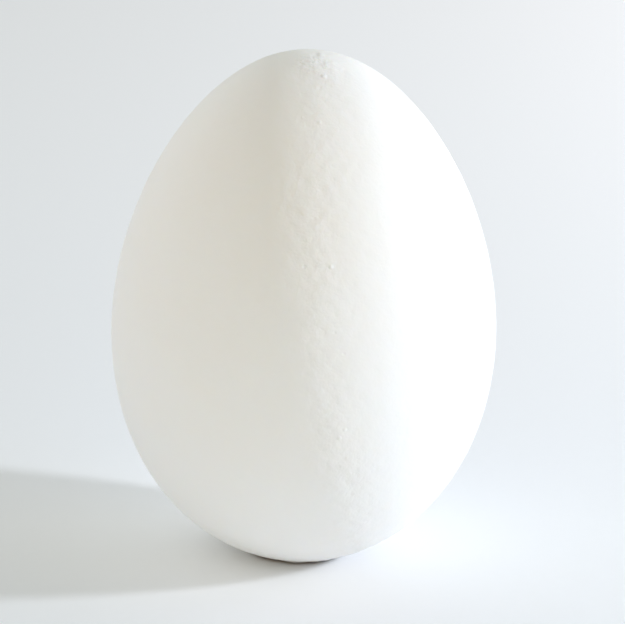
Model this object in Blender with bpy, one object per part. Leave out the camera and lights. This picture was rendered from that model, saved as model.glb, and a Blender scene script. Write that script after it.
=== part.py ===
"""A hen's egg that stands on its blunt end, on a small flat spot.

Metres, +Z up. The origin is the middle of the flat spot, in the plane of the surface that the egg stands on.
The whole egg grew as one piece, so it is one closed solid, turned about +Z from the curve of its side.
"""

import math

import bpy

LENGTH = 0.0584  # blunt end to pointed end, measured before the flat spot is taken off
MIDDLE_BREADTH = 0.0428  # across the egg halfway along its length, a little below its widest, 0.0430
POINTEDNESS = 0.105  # how far the blunt half is fuller, and the pointed half slimmer, than an ellipse
END_SLIMNESS = 0.023  # how far both ends are slimmer than an ellipse
FLAT_SPOT_RADIUS = 0.005  # the spot that the egg stands on

SEGMENTS = 80  # round the egg
RINGS = 40  # along the curve of its side, from the rim of the flat spot to the tip

SHELL_COLOUR = (0.87, 0.86, 0.82, 1.0)  # chalky white, a little warm
SHELL_ROUGHNESS = 0.55


def side_radius(turn):
    """Radius at an angle along the side: 0 at the blunt end, half a turn at the pointed end."""
    lean = math.cos(turn)
    fullness = 1 + POINTEDNESS * lean - END_SLIMNESS * lean * lean
    return MIDDLE_BREADTH / 2 * math.sin(turn) * fullness


def side_height(turn):
    """Height above the blunt end at the same angle, as on an ellipse."""
    return LENGTH / 2 * (1 - math.cos(turn))


def flat_spot_turn():
    """The angle along the side where its radius is that of the flat spot, found by halving."""
    low, high = 0.0, math.pi / 2
    for _ in range(50):
        middle = (low + high) / 2
        if side_radius(middle) < FLAT_SPOT_RADIUS:
            low = middle
        else:
            high = middle
    return high


def side_curve():
    """Points of the half outline in the XZ plane, from the tip down to the middle of the flat spot."""
    start = flat_spot_turn()
    floor = side_height(start)
    points = [(0.0, 0.0, LENGTH - floor)]
    for ring in range(RINGS - 1, 0, -1):
        turn = start + (math.pi - start) * ring / RINGS
        points.append((side_radius(turn), 0.0, side_height(turn) - floor))
    points.append((FLAT_SPOT_RADIUS, 0.0, 0.0))
    points.append((0.0, 0.0, 0.0))
    return points


def shell_material():
    """Matt, unglazed eggshell."""
    material = bpy.data.materials.new("eggshell")
    material.use_nodes = True
    surface = material.node_tree.nodes["Principled BSDF"]
    surface.inputs["Base Color"].default_value = SHELL_COLOUR
    surface.inputs["Roughness"].default_value = SHELL_ROUGHNESS
    surface.inputs["Metallic"].default_value = 0.0
    material.diffuse_color = SHELL_COLOUR
    return material


def make_egg():
    """The egg: its half outline, turned a full circle about +Z."""
    points = side_curve()
    mesh = bpy.data.meshes.new("egg")
    mesh.from_pydata(points, [(n, n + 1) for n in range(len(points) - 1)], [])
    mesh.materials.append(shell_material())
    egg = bpy.data.objects.new("egg", mesh)
    bpy.context.scene.collection.objects.link(egg)

    turned = egg.modifiers.new("turned", "SCREW")
    turned.axis = "Z"
    turned.angle = 2 * math.pi
    turned.steps = SEGMENTS
    turned.render_steps = SEGMENTS
    turned.use_merge_vertices = True
    turned.merge_threshold = 0.00001
    turned.use_smooth_shade = True
    return egg


for leftover in list(bpy.data.objects):
    bpy.data.objects.remove(leftover)
make_egg()
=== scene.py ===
import bpy
import numpy as np
from mathutils import Matrix, Vector


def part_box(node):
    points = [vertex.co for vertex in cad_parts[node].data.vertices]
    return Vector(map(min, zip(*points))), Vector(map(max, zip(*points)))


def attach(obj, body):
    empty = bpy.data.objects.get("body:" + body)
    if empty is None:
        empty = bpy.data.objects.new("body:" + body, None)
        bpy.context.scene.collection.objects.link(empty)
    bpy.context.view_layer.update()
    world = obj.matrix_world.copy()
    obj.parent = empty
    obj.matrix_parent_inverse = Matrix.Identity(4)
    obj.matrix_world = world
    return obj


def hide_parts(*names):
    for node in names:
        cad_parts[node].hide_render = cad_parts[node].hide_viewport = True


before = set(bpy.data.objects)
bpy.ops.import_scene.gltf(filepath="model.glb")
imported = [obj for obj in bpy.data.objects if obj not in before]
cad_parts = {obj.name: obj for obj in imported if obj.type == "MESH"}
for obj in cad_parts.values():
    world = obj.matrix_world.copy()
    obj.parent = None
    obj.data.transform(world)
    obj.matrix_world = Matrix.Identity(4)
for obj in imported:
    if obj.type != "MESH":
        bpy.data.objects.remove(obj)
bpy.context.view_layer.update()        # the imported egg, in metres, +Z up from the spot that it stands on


# The egg: a whole white hen's egg, one shell of chalky calcite that grew in a single piece. It stands on
# its blunt end, on a small flat spot, and narrows to a slimmer tip. Its surface is matt and slightly bumpy
# like orange peel, with a few pimples and pits, and creased at the tip. Close to the flat spot, brownish
# shade is painted on the shell where it meets the floor, and low down its tint is painted cooler, where
# bluish light from the floor falls.
EGG_LENGTH = 0.0584  # blunt end to tip, before the flat spot is taken off
EGG_MIDDLE_BREADTH = 0.0428
EGG_POINTEDNESS = 0.105  # how far the blunt half is fuller than the pointed half
EGG_END_SLIMNESS = 0.023  # how far both ends are slimmer than an ellipse
CELLS_ACROSS = 114  # squares along the block's level edges, from which the egg is blown up
CELLS_UP = 158  # squares along its upright edges
FRONT_GATHER = 0.25  # how far the squares are drawn together on the front, where the shell is roughest

SWELLS = ((0.0044, 0.0000122), (0.0021, 0.0000078), (0.00125, 0.0000100))  # size and rise of each unevenness
SWELL_WAVES = 90  # sine waves that make up one of them
SWELLS_FULL_FROM = 0.0004  # height above the surface underneath from which they have their full rise
PLAIN_SHARE = 0.42  # how tall the bumps are on most of the shell, against the rough stretch down the front
STRETCH_HEIGHTS = (0.015, 0.0235, 0.033, 0.045, 0.055)  # from the blunt end
STRETCH_MIDDLES = (0.0054, 0.0024, 0.0010, 0.0004, 0.0010)  # how far to +X the rough stretch is there
STRETCH_HALF_WIDTH = 0.0031
STRETCH_FADE = 0.004  # it fades from that far in front of the egg's axis to that far behind it
PEEL = ((0.00052, 0.0000380), (0.00030, 0.0000162), (0.00016, 0.0000030))  # lattice and rise of fine bumps
WRINKLES_AT = (9.0, 0.0580)  # turn and height from the blunt end of the wrinkled patch on the tip
WRINKLES_REACH = 0.0036
WRINKLES = ((0.00075, 0.0001900), (0.00040, 0.0000950))  # lattice and rise of its creases
RIM_DROP = 0.00009  # how far the rim of the flat spot reaches down, against the smooth egg
RIM_RAGGEDNESS = 0.45  # spread of that drop around the rim, as a share of it
RIM_TEETH = 0.0014  # size of the unevenness that makes it ragged
RIM_WAVES = 60
RIM_SEED = 9
RIM_HEIGHTS = (0.00028, 0.00085)  # heights above the surface underneath between which the drop fades out
# Painted contact shade: the shell's lowest rim is painted dark brown where shade falls between shell and
# floor.
PAINTED_SHADE_TOP = 0.00020  # height above the surface underneath up to which brownish contact shade is painted on the shell; gone at twice it
PAINTED_SHADE_SIDES = (0.0018, 0.0042)  # how far to +X, towards the lit side, the painted shade starts to thin out and ends
PAINTED_SHADE_COLOUR = (0.21, 0.085, 0.015, 1.0)
PIMPLE_SKIRT = 1.9  # how far a pimple's foot runs out, against its radius
PIMPLES = (  # turn from the front towards +X in degrees, height from the blunt end, radius, rise or fall
    (76.5, 0.05833, 0.00038, 0.000060),
    (50.2, 0.05830, 0.00034, 0.000055),
    (31.4, 0.05821, 0.00028, 0.000035),
    (56.3, 0.05837, 0.00030, -0.000040),
    (25.6, 0.05832, 0.00034, -0.000040),
    (-35.0, 0.05836, 0.00032, -0.000030),
    (-4.0, 0.05804, 0.00022, -0.000018),
    (4.1, 0.05766, 0.00020, -0.000016),
    (16.0, 0.05705, 0.00024, 0.000100),
    (14.7, 0.05662, 0.00016, -0.000016),
    (9.3, 0.05624, 0.00016, -0.000014),
    (8.4, 0.0396, 0.00018, 0.000056),
    (6.6, 0.0533, 0.00017, 0.000040),
    (11.4, 0.0209, 0.00018, 0.000050),
    (12.8, 0.0219, 0.00017, 0.000038),
    (-3.3, 0.0537, 0.00012, 0.000024),
    (0.0, 0.0396, 0.00017, -0.000058),
    (11.9, 0.0305, 0.00015, -0.000028),
    (9.2, 0.0328, 0.00015, -0.000028),
    (-20.5, 0.0265, 0.00015, -0.000020),
)
SPECK_SPACING = 0.0026  # of the small pimples scattered over the whole shell
SPECK_REACH = 0.16  # of a speck, against their spacing
SPECK_CHANCE = (0.5, 1.0)  # draws below the first are no speck, and one at the second is the tallest
SPECK_RISE = 0.000022  # of the tallest

# Painted tint: the shell is painted cooler low down, where bluish light thrown up from the floor falls, and
# creamier towards the tip.
SHELL_LOW_PAINTED_COOL = (0.953, 0.954, 0.946, 1.0)  # colour of the shell's lower part, painted cooler where bluish light from the floor falls on it
SHELL_HIGH_PAINTED_CREAM = (0.948, 0.924, 0.886, 1.0)  # and towards the tip, painted creamier
PAINTED_TINT_HEIGHTS = (0.012, 0.050)  # heights between which the painted tint turns from one into the other
CLOUD_SIZE = 0.012
CLOUD_SHARE = 0.2  # how far the clouds move the tint either way
GLOSS = (0.50, 0.62)  # roughness in the hollows of the widest peel, and on its bumps

egg_low, egg_high = (Vector(corner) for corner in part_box("egg"))
half_length = EGG_LENGTH / 2
half_breadth = EGG_MIDDLE_BREADTH / 2
cut = EGG_LENGTH - (egg_high.z - egg_low.z)


def block_skin(across, up):
    """Corners and triangles of a block's skin. Each of its six sides is a grid of two whole numbers, whose
    squares are halved along one diagonal and the other by turns. Corners that two or three sides share are
    merged, so the skin is closed and has no pole."""
    cells = np.array([across, across, up])
    corners, triangles, count = [], [], 0
    for axis in range(3):
        first, second = (axis + 1) % 3, (axis + 2) % 3
        i, j = np.meshgrid(np.arange(cells[first] + 1), np.arange(cells[second] + 1), indexing="ij")
        for side in (0, 1):
            grid = np.empty(i.shape + (3,), int)
            grid[..., axis] = side * cells[axis]
            grid[..., first] = i
            grid[..., second] = j
            number = count + np.arange(i.size).reshape(i.shape)
            a, b, c, d = number[:-1, :-1], number[1:, :-1], number[1:, 1:], number[:-1, 1:]
            even = ((i + j)[:-1, :-1] % 2 == 0)[..., None]
            halves = np.concatenate([np.where(even, np.stack([a, b, c], -1), np.stack([a, b, d], -1)),
                                     np.where(even, np.stack([a, c, d], -1), np.stack([b, c, d], -1))])
            triangles.append(halves.reshape(-1, 3)[:, ::1 if side else -1])
            corners.append(grid.reshape(-1, 3))
            count += i.size
    corners, merged = np.unique(np.concatenate(corners), axis=0, return_inverse=True)
    return 2 * corners / cells - 1, merged.reshape(-1)[np.concatenate(triangles)]


def ball(block):
    """Unit directions for points on a block from -1 to 1: each coordinate becomes the tangent of its share
    of 45 degrees, which evens out the squares, and the whole is drawn a little towards the front."""
    direction = np.tan(np.pi / 4 * block)
    direction /= np.linalg.norm(direction, axis=1, keepdims=True)
    direction[:, 1] -= FRONT_GATHER
    return direction / np.linalg.norm(direction, axis=1, keepdims=True)


def egg_skin(direction):
    """The egg's points and outward normals over unit directions. Height is half the length times one plus
    the direction's height w. Distance from the axis is half the breadth times the direction's own distance
    times the fullness, 1 - pointedness w - end slimness w squared. The normal is the cross product of the
    two slopes of that surface."""
    w = direction[:, 2]
    fullness = 1 - EGG_POINTEDNESS * w - EGG_END_SLIMNESS * w * w
    change = -EGG_POINTEDNESS - 2 * EGG_END_SLIMNESS * w
    points = np.stack([half_breadth * fullness * direction[:, 0],
                       half_breadth * fullness * direction[:, 1],
                       half_length * (1 + w) - cut], 1)
    normals = np.stack([half_length * direction[:, 0],
                        half_length * direction[:, 1],
                        half_breadth * (fullness * w - change * (1 - w * w))], 1)
    return points, normals / np.linalg.norm(normals, axis=1, keepdims=True)


def swell(points, size, waves, seed):
    """A random swell of about one size: sine waves in scattered directions and phases, added up and
    scaled so that the sum has a spread of 1."""
    chance = np.random.default_rng(seed)
    heading = chance.normal(size=(waves, 3))
    heading /= np.linalg.norm(heading, axis=1, keepdims=True)
    number = 2 * np.pi / (size * chance.uniform(0.75, 1.4, waves))
    phase = chance.uniform(0, 2 * np.pi, waves)
    return np.sin(points @ (heading * number[:, None]).T + phase).sum(1) / np.sqrt(waves / 2)


def bumpiness(points):
    """How tall the bumps are: one along the rough stretch down the front and a plain share elsewhere. The
    difference falls off to both sides as e to minus the square of the distance over its half width."""
    height = points[:, 2] + cut
    aside = points[:, 0] - np.interp(height, STRETCH_HEIGHTS, STRETCH_MIDDLES)
    in_front = np.clip(0.5 - points[:, 1] / (2 * STRETCH_FADE), 0, 1)
    near = np.exp(-(aside / STRETCH_HALF_WIDTH) ** 2) * in_front
    return PLAIN_SHARE + (1 - PLAIN_SHARE) * near


block, triangles = block_skin(CELLS_ACROSS, CELLS_UP)
points, normals = egg_skin(ball(block))
rough = bumpiness(points)
relief = np.zeros(len(points))
for seed, (size, rise) in enumerate(SWELLS):
    relief += rise * rough * swell(points, size, SWELL_WAVES, seed)
relief *= np.clip(points[:, 2] / SWELLS_FULL_FROM, 0, 1)
points += normals * relief[:, None]
raggedness = RIM_RAGGEDNESS * swell(points, RIM_TEETH, RIM_WAVES, RIM_SEED)
rim = np.interp(points[:, 2], RIM_HEIGHTS, (1.0, 0.0)) * (1 + raggedness)
points[:, 2] = np.maximum(points[:, 2] - RIM_DROP * rim, 0.0)

egg_mesh = bpy.data.meshes.new("eggshell")
egg_mesh.from_pydata(points, [], triangles)
egg_mesh.shade_smooth()
egg_mesh.attributes.new("bumpiness", "FLOAT", "POINT").data.foreach_set("value", rough)
eggshell = bpy.data.objects.new("eggshell", egg_mesh)
bpy.context.scene.collection.objects.link(eggshell)


def place_on_egg(turn, height):
    """The shell's point at a turn from the front and a height from the blunt end."""
    azimuth = np.radians(turn)
    w = height / half_length - 1
    level = np.sqrt(1 - w * w)
    found, _ = egg_skin(np.array([[level * np.sin(azimuth), -level * np.cos(azimuth), w]]))
    return found[0]


def shell_finish():
    """Matt calcite shell: a white that clouds slightly, with a painted tint that is cooler low down, where
    bluish light from the floor falls, and creamier towards the tip, and painted brownish shade at the flat
    spot, where shell and floor meet; its gloss varies with its bumps. Bumps too small for the mesh are
    heights in metres: orange peel of a few sizes, creases at the tip, the pimples and pits, and specks over
    the whole shell."""
    material = bpy.data.materials.new("eggshell")
    material.use_nodes = True
    nodes, links = material.node_tree.nodes, material.node_tree.links
    surface = nodes["Principled BSDF"]
    surface.inputs["Specular IOR Level"].default_value = 0.35
    surface.inputs["Subsurface Weight"].default_value = 0.12
    surface.inputs["Subsurface Radius"].default_value = (1.0, 0.75, 0.5)
    surface.inputs["Subsurface Scale"].default_value = 0.0004
    place = nodes.new("ShaderNodeTexCoord").outputs["Object"]

    def noise(size, detail, roughness):
        """Noise whose features are about `size` metres across."""
        texture = nodes.new("ShaderNodeTexNoise")
        texture.inputs["Scale"].default_value = 1 / size
        texture.inputs["Detail"].default_value = detail
        texture.inputs["Roughness"].default_value = roughness
        links.new(place, texture.inputs["Vector"])
        return texture.outputs["Fac"]

    def spread(fac, low, high, to_low, to_high, kind="LINEAR"):
        """The part of a value between two limits, spread over two others."""
        ranged = nodes.new("ShaderNodeMapRange")
        ranged.interpolation_type = kind
        ranged.inputs["From Min"].default_value = low
        ranged.inputs["From Max"].default_value = high
        ranged.inputs["To Min"].default_value = to_low
        ranged.inputs["To Max"].default_value = to_high
        links.new(fac, ranged.inputs["Value"])
        return ranged.outputs["Result"]

    def maths(kind, *values):
        """A sum or product of values, each a socket or a number."""
        node = nodes.new("ShaderNodeMath")
        node.operation = kind
        for socket, value in zip(node.inputs, values):
            if isinstance(value, float):
                socket.default_value = value
            else:
                links.new(value, socket)
        return node.outputs["Value"]

    def layers(sizes, share):
        """Noises of several sizes and rises, added up and multiplied by a share."""
        total = 0.0
        for size, rise in sizes:
            total = maths("ADD", maths("MULTIPLY", noise(size, 1.0, 0.5), rise), total)
        return maths("MULTIPLY", total, share)

    def dome(turn, up, radius, rise):
        """One in the middle of a place on the egg, times a rise, and nothing beyond a radius."""
        away = nodes.new("ShaderNodeVectorMath")
        away.operation = "DISTANCE"
        away.inputs[1].default_value = place_on_egg(turn, up)
        links.new(place, away.inputs[0])
        return spread(away.outputs["Value"], 0.0, radius, rise, 0.0, "SMOOTHSTEP")

    stretch = nodes.new("ShaderNodeAttribute")
    stretch.attribute_name = "bumpiness"
    height = layers(PEEL, stretch.outputs["Fac"])
    height = maths("ADD", height, layers(WRINKLES, dome(*WRINKLES_AT, WRINKLES_REACH, 1.0)))
    for turn, up, radius, rise in PIMPLES:
        height = maths("ADD", height, dome(turn, up, PIMPLE_SKIRT * radius, rise))

    cells = nodes.new("ShaderNodeTexVoronoi")
    cells.inputs["Scale"].default_value = 1 / SPECK_SPACING
    links.new(place, cells.inputs["Vector"])
    chance = nodes.new("ShaderNodeSeparateColor")
    links.new(cells.outputs["Color"], chance.inputs["Color"])
    speck = spread(cells.outputs["Distance"], 0.0, SPECK_REACH, 1.0, 0.0, "SMOOTHSTEP")
    speck = maths("MULTIPLY", speck, spread(chance.outputs["Red"], *SPECK_CHANCE, 0.0, SPECK_RISE))
    height = maths("ADD", height, speck)

    bumpy = nodes.new("ShaderNodeBump")
    bumpy.inputs["Distance"].default_value = 1.0
    links.new(height, bumpy.inputs["Height"])
    links.new(bumpy.outputs["Normal"], surface.inputs["Normal"])

    tint = nodes.new("ShaderNodeMix")
    tint.data_type = "RGBA"
    split = nodes.new("ShaderNodeSeparateXYZ")
    links.new(place, split.inputs["Vector"])
    tint.inputs["A"].default_value = SHELL_LOW_PAINTED_COOL
    tint.inputs["B"].default_value = SHELL_HIGH_PAINTED_CREAM
    clouds = spread(noise(CLOUD_SIZE, 3.0, 0.55), 0.35, 0.65, -CLOUD_SHARE, CLOUD_SHARE)
    # Painted tint by height, cooler low down where bluish floor light falls and creamier towards the tip,
    # with clouds of random tone added.
    clouds_and_painted_tint = maths("ADD", clouds, spread(split.outputs["Z"], *PAINTED_TINT_HEIGHTS, 0.0, 1.0))
    links.new(clouds_and_painted_tint, tint.inputs["Factor"])
    # Painted contact shade: dark brown painted on the shell just above the floor, where shade falls between
    # shell and floor, thinning out towards the lit +X side.
    contact_shade = nodes.new("ShaderNodeMix")
    contact_shade.data_type = "RGBA"
    contact_shade.inputs["B"].default_value = PAINTED_SHADE_COLOUR
    links.new(tint.outputs["Result"], contact_shade.inputs["A"])
    painted_shade_height = maths("ADD", split.outputs["Z"], spread(split.outputs["X"], *PAINTED_SHADE_SIDES, 0.0, 2 * PAINTED_SHADE_TOP))
    links.new(spread(painted_shade_height, PAINTED_SHADE_TOP, 2 * PAINTED_SHADE_TOP, 1.0, 0.0), contact_shade.inputs["Factor"])
    links.new(contact_shade.outputs["Result"], surface.inputs["Base Color"])
    links.new(spread(noise(PEEL[0][0], 1.0, 0.5), 0.3, 0.7, *GLOSS), surface.inputs["Roughness"])
    return material


egg_mesh.materials.append(shell_finish())
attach(eggshell, "root")
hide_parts("egg")


# The surface under the egg: one plain pale sheet, large enough to fill the view from any side. It is a
# smooth matt board, a little bluer than the egg.
FLOOR_HALF_SIZE = 1.6
FLOOR_CELLS = 8
FIBRE_SCALE = 900.0  # specks of fibre in a metre
BOARD_TINTS = ((0.880, 0.890, 0.895, 1.0), (0.892, 0.902, 0.907, 1.0))  # between its fibres and on them


def floor_skin(half, cells):
    """A level square ruled into a grid: x and y are the grid's two numbers, z is nothing."""
    ruled = np.linspace(-half, half, cells + 1)
    x, y = np.meshgrid(ruled, ruled, indexing="ij")
    number = np.arange(x.size).reshape(x.shape)
    square = np.stack([number[:-1, :-1], number[1:, :-1], number[1:, 1:], number[:-1, 1:]], -1)
    return np.stack([x.ravel(), y.ravel(), np.zeros(x.size)], 1), square.reshape(-1, 4)


def board_finish():
    """Matt pale board with a barely visible fibre."""
    material = bpy.data.materials.new("pale board")
    material.use_nodes = True
    nodes, links = material.node_tree.nodes, material.node_tree.links
    surface = nodes["Principled BSDF"]
    surface.inputs["Roughness"].default_value = 0.8
    surface.inputs["Specular IOR Level"].default_value = 0.2
    fibre = nodes.new("ShaderNodeTexNoise")
    fibre.inputs["Scale"].default_value = FIBRE_SCALE
    fibre.inputs["Detail"].default_value = 3.0
    links.new(nodes.new("ShaderNodeTexCoord").outputs["Object"], fibre.inputs["Vector"])
    tint = nodes.new("ShaderNodeMix")
    tint.data_type = "RGBA"
    tint.inputs["A"].default_value, tint.inputs["B"].default_value = BOARD_TINTS
    links.new(fibre.outputs["Fac"], tint.inputs["Factor"])
    links.new(tint.outputs["Result"], surface.inputs["Base Color"])
    return material


floor_mesh = bpy.data.meshes.new("floor")
floor_points, floor_squares = floor_skin(FLOOR_HALF_SIZE, FLOOR_CELLS)
floor_mesh.from_pydata(floor_points, [], floor_squares)
floor = bpy.data.objects.new("floor", floor_mesh)
bpy.context.scene.collection.objects.link(floor)
floor_mesh.materials.append(board_finish())


# The light: a round soft lamp low on the right, a long low strip of light beside the egg on the same side
# and a shorter one further back, for the surface behind the egg, and a pale room that fills the shadows.
# What a lamp adds is told for a white surface that faces it at its distance, as if its light all came
# from its middle.
EGG_MIDDLE = 0.02853  # height of the egg's middle, which the lamps and the camera are aimed at
LAMP_TURN = np.radians(3)  # from +X towards the camera
LAMP_RISE = np.radians(21)
LAMP_DISTANCE = 0.60
LAMP_SIZE = (0.063,)
LAMP_LIGHT = (0.541, 0.570, 0.632)
STRIP_RISE = np.radians(10)
STRIP_DISTANCE = 0.30
STRIP_BEHIND = 0.38  # how far behind the egg's middle it stands and is aimed
STRIP_SIZE = (0.50, 0.06)
STRIP_LIGHT = (0.858, 0.739, 0.725)
FILL_RISE = np.radians(14)
FILL_DISTANCE = 0.30
FILL_SIZE = (1.00, 0.06)
FILL_LIGHT = (0.549, 0.648, 0.855)
ROOM = (  # a side of the room, the light that comes from it
    ((-1, 0, 0), (0.942, 0.937, 0.999)),
    ((0, 1, 0), (0.468, 0.514, 0.378)),
    ((0, 0, 1), (0.191, 0.235, 0.306)),
    ((0, -1, 0), (0.493, 0.382, 0.097)),
)


def lamp(name, turn, rise, distance, behind, size, light):
    """A flat lamp that faces the egg's middle or a place behind it: round with one size, oblong with two."""
    towards = Vector((np.cos(rise) * np.cos(turn), -np.cos(rise) * np.sin(turn), np.sin(rise)))
    data = bpy.data.lights.new(name, "AREA")
    data.shape = "DISK" if len(size) == 1 else "RECTANGLE"
    data.size, data.size_y = size[0], size[-1]
    data.energy = np.pi ** 2 * distance ** 2 * light[1]
    data.color = np.array(light) / light[1]
    holder = bpy.data.objects.new(name, data)
    holder.location = Vector((0, behind, EGG_MIDDLE)) + towards * distance
    holder.rotation_euler = towards.to_track_quat("Z", "Y").to_euler()
    holder.visible_camera = False
    bpy.context.scene.collection.objects.link(holder)


lamp("key lamp", LAMP_TURN, LAMP_RISE, LAMP_DISTANCE, 0.0, LAMP_SIZE, LAMP_LIGHT)
lamp("side strip", 0.0, STRIP_RISE, STRIP_DISTANCE, STRIP_BEHIND, STRIP_SIZE, STRIP_LIGHT)
lamp("fill strip", 0.0, FILL_RISE, FILL_DISTANCE, 0.0, FILL_SIZE, FILL_LIGHT)

room = bpy.data.worlds.new("room")
room.use_nodes = True
room_nodes, room_links = room.node_tree.nodes, room.node_tree.links
direction = room_nodes.new("ShaderNodeTexCoord").outputs["Generated"]
glow = None
for side, light in ROOM:
    facing = room_nodes.new("ShaderNodeVectorMath")
    facing.operation = "DOT_PRODUCT"
    facing.inputs[1].default_value = side
    room_links.new(direction, facing.inputs[0])
    part = room_nodes.new("ShaderNodeMath")
    part.operation = "MAXIMUM"
    part.inputs[1].default_value = 0.0
    room_links.new(facing.outputs["Value"], part.inputs[0])
    tinted = room_nodes.new("ShaderNodeVectorMath")
    tinted.operation = "MULTIPLY_ADD"
    tinted.inputs[1].default_value = light
    room_links.new(part.outputs[0], tinted.inputs[0])
    if glow is not None:
        room_links.new(glow, tinted.inputs[2])
    glow = tinted.outputs["Vector"]
room_links.new(glow, room_nodes["Background"].inputs["Color"])
bpy.context.scene.world = room
bpy.context.scene.view_settings.view_transform = "Standard"


# The camera: a long lens in front of the egg, looking down on it a little, and turned a little so that the
# egg leans to the right in the picture.
VIEW_DISTANCE = 0.450
VIEW_RISE = np.radians(17.45)
VIEW_ROLL = np.radians(1.337)
PICTURE_WIDTH, PICTURE_HEIGHT = 625, 624
PIXELS_PER_METRE = 8944.5  # of the picture, at the egg's middle
EGG_PIXEL = (304.19, 306.10)  # where the egg's middle falls in the picture
SENSOR_WIDTH = 36.0  # in millimetres

back = Vector((0, -np.cos(VIEW_RISE), np.sin(VIEW_RISE)))
level_right, level_up = Vector((1, 0, 0)), Vector((0, np.sin(VIEW_RISE), np.cos(VIEW_RISE)))
right = level_right * np.cos(VIEW_ROLL) + level_up * np.sin(VIEW_ROLL)
up = level_up * np.cos(VIEW_ROLL) - level_right * np.sin(VIEW_ROLL)
aside = right * ((PICTURE_WIDTH / 2 - EGG_PIXEL[0]) / PIXELS_PER_METRE)
aside -= up * ((PICTURE_HEIGHT / 2 - EGG_PIXEL[1]) / PIXELS_PER_METRE)

lens = bpy.data.cameras.new("camera")
lens.sensor_fit = "HORIZONTAL"
lens.sensor_width = SENSOR_WIDTH
lens.lens = SENSOR_WIDTH * PIXELS_PER_METRE * VIEW_DISTANCE / PICTURE_WIDTH
lens.clip_start = 0.01
camera = bpy.data.objects.new("camera", lens)
camera.matrix_world = Matrix.Translation(Vector((0, 0, EGG_MIDDLE)) + back * VIEW_DISTANCE + aside) @ Matrix(
    (right, up, back)).transposed().to_4x4()
bpy.context.scene.collection.objects.link(camera)
bpy.context.scene.camera = camera
